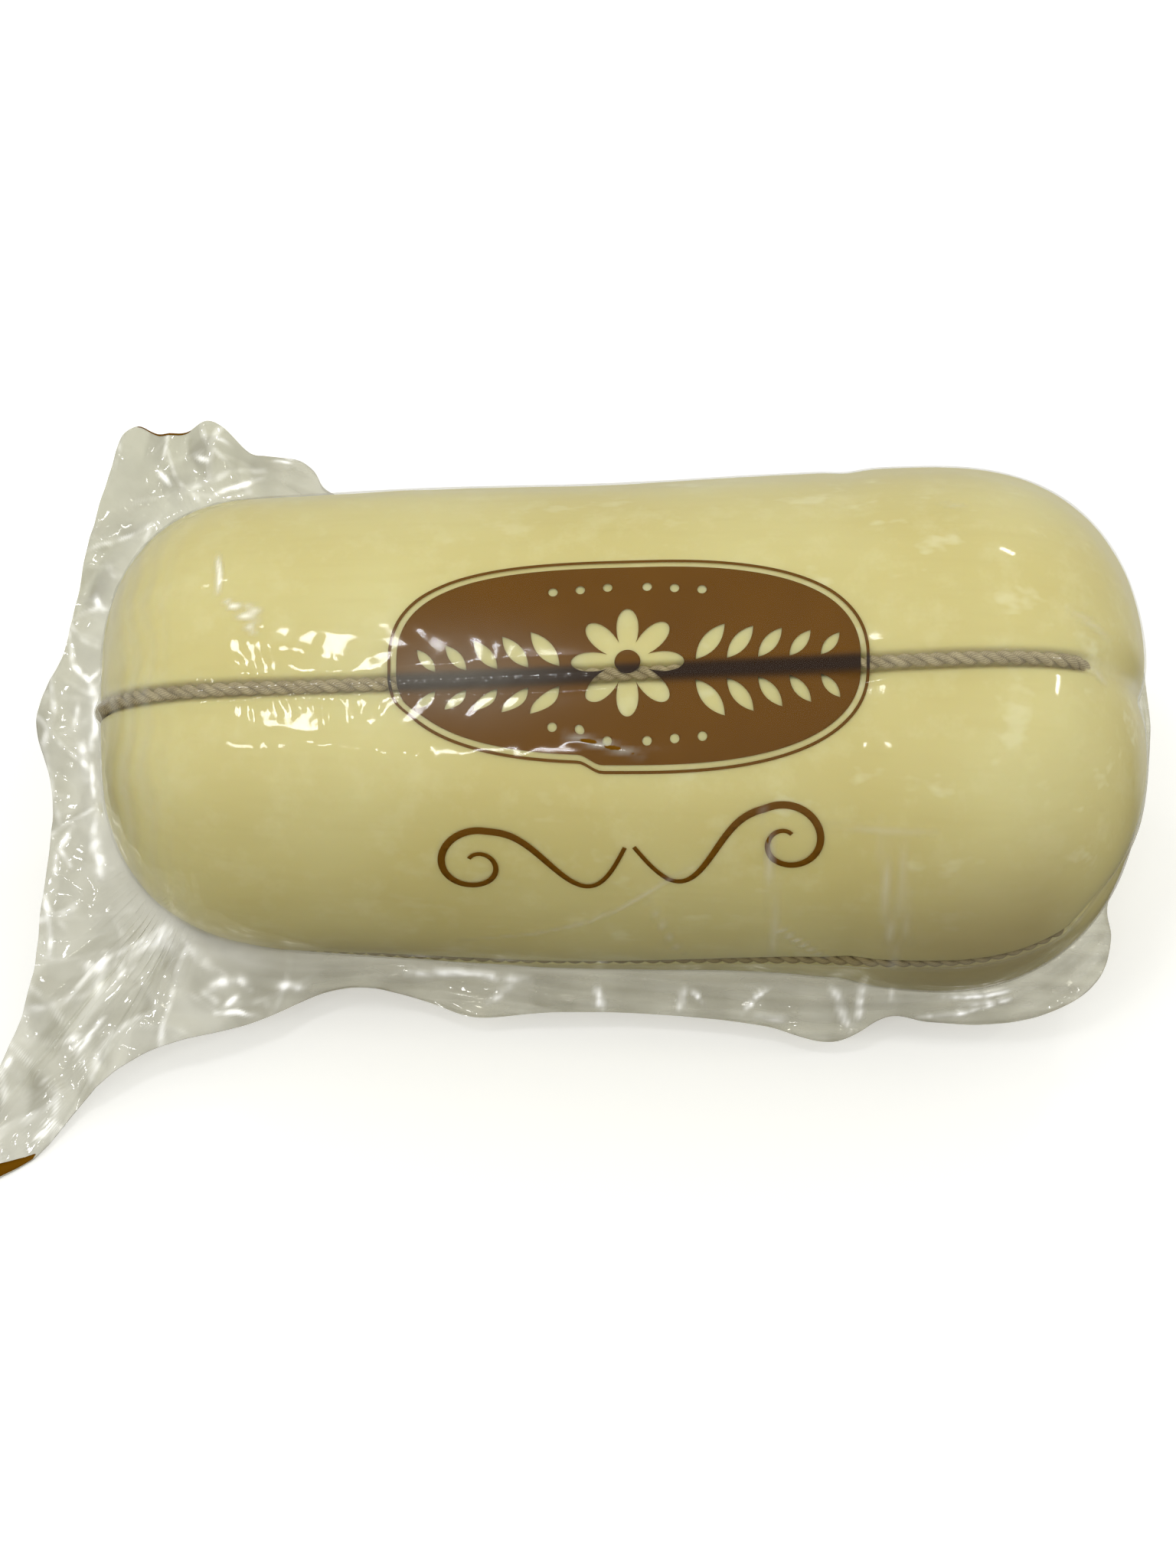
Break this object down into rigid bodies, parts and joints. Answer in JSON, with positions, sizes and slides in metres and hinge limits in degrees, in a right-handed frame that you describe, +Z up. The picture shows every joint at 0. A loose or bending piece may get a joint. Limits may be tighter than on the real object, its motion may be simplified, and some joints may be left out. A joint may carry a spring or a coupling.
{
  "type": "vacuum-packed provolone cheese",
  "caption": "Log-shaped provolone cheese tied lengthwise with twine, vacuum packed in a clear shrink bag with a brown printed label and a crumpled neck.",
  "frame": {"origin": "on the surface that the pack lies on, under the middle of the whole pack", "axes": "+X along the cheese towards its head, +Z up, the printed face looks up and towards -Y"},
  "size_m": [0.1654, 0.1014, 0.0708],
  "materials": {
    "packed_cheese": "pale yellow cheese under clear, glossy shrink film",
    "cheese": "pale yellow, waxy stretched-curd rind, softly mottled",
    "twine": "two-ply twisted hemp twine, grey-brown, darkened by oil",
    "film": "clear multilayer shrink film, glossy, crumpled where it is empty",
    "print": "brown ink printed on the film"
  },
  "bodies": {
    "root": {"bag": "packed_cheese"}
  },
  "joints": []
}
